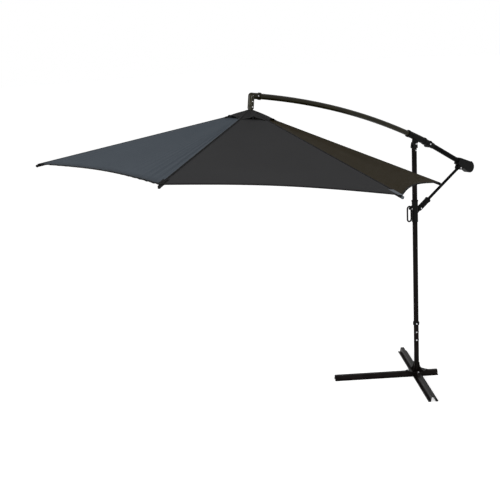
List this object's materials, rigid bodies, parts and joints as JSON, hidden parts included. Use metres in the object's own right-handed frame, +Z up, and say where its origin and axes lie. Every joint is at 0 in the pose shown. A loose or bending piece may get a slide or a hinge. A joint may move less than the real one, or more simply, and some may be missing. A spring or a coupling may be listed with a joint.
{
  "type": "cantilever parasol",
  "caption": "Free-standing cantilever parasol: cross base, mast, curved tilting boom with strut and crank, and a hanging canopy that folds.",
  "frame": {"origin": "mast axis at ground level", "axes": "+Z up the mast; the boom reaches out along -X, its rear end and crank housing along +X"},
  "size_m": [3.8177, 3.0158, 2.57],
  "materials": {
    "black_plastic": "matte",
    "black_steel": "satin",
    "bronze_aluminium": "satin",
    "black_aluminium": "satin",
    "bright_steel": "brushed",
    "cloth": "woven"
  },
  "bodies": {
    "base": {"base_arm_long": "black_steel", "base_arm_cross": "black_steel", "mast_foot": "black_steel", "foot_bolts": "bright_steel", "mast_tube": "black_steel", "mast_joint_ring": "black_plastic", "mast_screws": "bright_steel", "mast_head": "black_plastic", "pivot_bolt": "bright_steel"},
    "slider": {"slider_collar": "black_plastic", "handle_pin": "bright_steel", "strut_lower_bolt": "bright_steel"},
    "shoe": {"slider_shoe": "black_plastic"},
    "handle": {"slider_handle": "black_plastic"},
    "strut": {"strut_socket": "black_plastic", "strut_tube": "black_aluminium", "strut_end": "black_aluminium"},
    "boom": {"strut_upper_bolt": "bright_steel", "boom_saddle": "black_plastic", "saddle_screws": "bright_steel", "boom_tube": "bronze_aluminium", "boom_coupling": "black_plastic", "coupling_bolt": "bright_steel", "rear_tube": "black_aluminium", "winch_shell_near": "black_plastic", "winch_shell_far": "black_plastic", "winch_screws": "bright_steel", "elbow": "bronze_aluminium", "elbow_screws": "bright_steel", "pulley_pin": "bright_steel", "hanging_pole": "bronze_aluminium", "pole_end_cap": "black_plastic", "crown_hub": "black_plastic", "crown_pins": "bright_steel", "canopy": "cloth", "vent_cap": "cloth"},
    "winch": {"cord_drum": "black_plastic", "crank_arm": "black_aluminium"},
    "knob": {"crank_knob": "black_plastic"},
    "pulley": {"elbow_pulley": "black_plastic"},
    "runner": {"runner_hub": "black_plastic"},
    "rib_1": {"rib_1": "black_aluminium", "rib_cap_1": "black_plastic"},
    "stretcher_1": {"stretcher_1": "black_aluminium"},
    "rib_2": {"rib_2": "black_aluminium", "rib_cap_2": "black_plastic"},
    "stretcher_2": {"stretcher_2": "black_aluminium"},
    "rib_3": {"rib_3": "black_aluminium", "rib_cap_3": "black_plastic"},
    "stretcher_3": {"stretcher_3": "black_aluminium"},
    "rib_4": {"rib_4": "black_aluminium", "rib_cap_4": "black_plastic"},
    "stretcher_4": {"stretcher_4": "black_aluminium"},
    "rib_5": {"rib_5": "black_aluminium", "rib_cap_5": "black_plastic"},
    "stretcher_5": {"stretcher_5": "black_aluminium"},
    "rib_6": {"rib_6": "black_aluminium", "rib_cap_6": "black_plastic"},
    "stretcher_6": {"stretcher_6": "black_aluminium"}
  },
  "joints": [
    {"name": "boom_tilt", "type": "hinge", "parent": "base", "child": "boom", "pos_m": [0, 0, 2.027], "axis": [0, -1, 0], "range_deg": [-5, 18]},
    {"name": "slider_slide", "type": "slide", "parent": "base", "child": "slider", "axis": [0, 0, 1], "range_m": [-0.08512, 0.30385]},
    {"name": "strut_swing", "type": "hinge", "parent": "slider", "child": "strut", "pos_m": [0.055, 0, 1.476], "axis": [0, -1, 0], "range_deg": [-15.07, 4.33]},
    {"name": "handle_squeeze", "type": "hinge", "parent": "slider", "child": "handle", "pos_m": [-0.047, 0, 1.485], "axis": [0, 1, 0], "range_deg": [0, 20], "stiffness_Nm_per_rad": 0.6, "springref_deg": -11.46},
    {"name": "shoe_release", "type": "slide", "parent": "slider", "child": "shoe", "axis": [-1, 0, 0], "range_m": [0, 0.0012], "stiffness_N_per_m": 400, "springref_m": -0.001},
    {"name": "rib_1_hinge", "type": "hinge", "parent": "boom", "child": "rib_1", "pos_m": [-1.61613, -0.01722, 2.40619], "axis": [0.4268, 0.9026, -0.0562], "range_deg": [0, 65.02], "deforming": ["canopy", "vent_cap"]},
    {"name": "rib_2_hinge", "type": "hinge", "parent": "boom", "child": "rib_2", "pos_m": [-1.61924, 0.02266, 2.4066], "axis": [-0.5616, 0.8241, 0.0739], "range_deg": [0, 65.12]},
    {"name": "rib_3_hinge", "type": "hinge", "parent": "boom", "child": "rib_3", "pos_m": [-1.65504, 0.03988, 2.41131], "axis": [-0.9884, -0.0785, 0.1301], "range_deg": [0, 65.12]},
    {"name": "rib_4_hinge", "type": "hinge", "parent": "boom", "child": "rib_4", "pos_m": [-1.68772, 0.01722, 2.41562], "axis": [-0.4268, -0.9026, 0.0562], "range_deg": [0, 65.12]},
    {"name": "rib_5_hinge", "type": "hinge", "parent": "boom", "child": "rib_5", "pos_m": [-1.68461, -0.02266, 2.41521], "axis": [0.5616, -0.8241, -0.0739], "range_deg": [0, 65.12]},
    {"name": "rib_6_hinge", "type": "hinge", "parent": "boom", "child": "rib_6", "pos_m": [-1.64881, -0.03988, 2.4105], "axis": [0.9884, 0.0785, -0.1301], "range_deg": [0, 65.12]},
    {"name": "stretcher_1_hinge", "type": "hinge", "parent": "rib_1", "child": "stretcher_1", "pos_m": [-1.42642, -0.11274, 2.31288], "axis": [-0.4268, -0.9026, 0.0562], "range_deg": [0, 130.14]},
    {"name": "stretcher_2_hinge", "type": "hinge", "parent": "rib_2", "child": "stretcher_2", "pos_m": [-1.44679, 0.14833, 2.31556], "axis": [0.5616, -0.8241, -0.0739], "range_deg": [0, 130.14]},
    {"name": "stretcher_3_hinge", "type": "hinge", "parent": "rib_3", "child": "stretcher_3", "pos_m": [-1.68114, 0.26108, 2.34642], "axis": [0.9884, 0.0785, -0.1301], "range_deg": [0, 130.14]},
    {"name": "stretcher_4_hinge", "type": "hinge", "parent": "rib_4", "child": "stretcher_4", "pos_m": [-1.89512, 0.11274, 2.37459], "axis": [0.4268, 0.9026, -0.0562], "range_deg": [0, 130.14]},
    {"name": "stretcher_5_hinge", "type": "hinge", "parent": "rib_5", "child": "stretcher_5", "pos_m": [-1.87475, -0.14833, 2.37191], "axis": [-0.5616, 0.8241, 0.0739], "range_deg": [0, 130.14]},
    {"name": "stretcher_6_hinge", "type": "hinge", "parent": "rib_6", "child": "stretcher_6", "pos_m": [-1.6404, -0.26108, 2.34105], "axis": [-0.9884, -0.0785, 0.1301], "range_deg": [0, 130.14]},
    {"name": "runner_slide", "type": "slide", "parent": "boom", "child": "runner", "axis": [-0.1305, 0, -0.9914], "range_m": [0, 0.32449]},
    {"name": "crank_turn", "type": "hinge", "parent": "boom", "child": "winch", "pos_m": [0.65147, 0, 1.75727], "axis": [0, 1, 0], "range_deg": [0, 1032.28]},
    {"name": "pulley_turn", "type": "hinge", "parent": "boom", "child": "pulley", "pos_m": [-1.63408, 0, 2.54647], "axis": [0, 1, 0], "range_deg": [0, 1428.92]},
    {"name": "knob_spin", "type": "hinge", "parent": "winch", "child": "knob", "pos_m": [0.74073, 0, 1.77952], "axis": [0, 1, 0], "continuous": true}
  ],
  "couplings": [
    {"joint": "slider_slide", "follows": "boom_tilt", "m_per_rad": 0.964},
    {"joint": "strut_swing", "follows": "boom_tilt", "ratio": -0.826},
    {"joint": "shoe_release", "follows": "handle_squeeze", "m_per_rad": 0.0034},
    {"joint": "rib_2_hinge", "follows": "rib_1_hinge", "ratio": 1},
    {"joint": "rib_3_hinge", "follows": "rib_1_hinge", "ratio": 1},
    {"joint": "rib_4_hinge", "follows": "rib_1_hinge", "ratio": 1},
    {"joint": "rib_5_hinge", "follows": "rib_1_hinge", "ratio": 1},
    {"joint": "rib_6_hinge", "follows": "rib_1_hinge", "ratio": 1},
    {"joint": "stretcher_1_hinge", "follows": "rib_1_hinge", "ratio": 2},
    {"joint": "stretcher_2_hinge", "follows": "rib_1_hinge", "ratio": 2},
    {"joint": "stretcher_3_hinge", "follows": "rib_1_hinge", "ratio": 2},
    {"joint": "stretcher_4_hinge", "follows": "rib_1_hinge", "ratio": 2},
    {"joint": "stretcher_5_hinge", "follows": "rib_1_hinge", "ratio": 2},
    {"joint": "stretcher_6_hinge", "follows": "rib_1_hinge", "ratio": 2},
    {"joint": "runner_slide", "follows": "rib_1_hinge", "m_per_rad": 0.28549},
    {"joint": "crank_turn", "follows": "rib_1_hinge", "ratio": 15.861},
    {"joint": "pulley_turn", "follows": "rib_1_hinge", "ratio": 21.961}
  ]
}
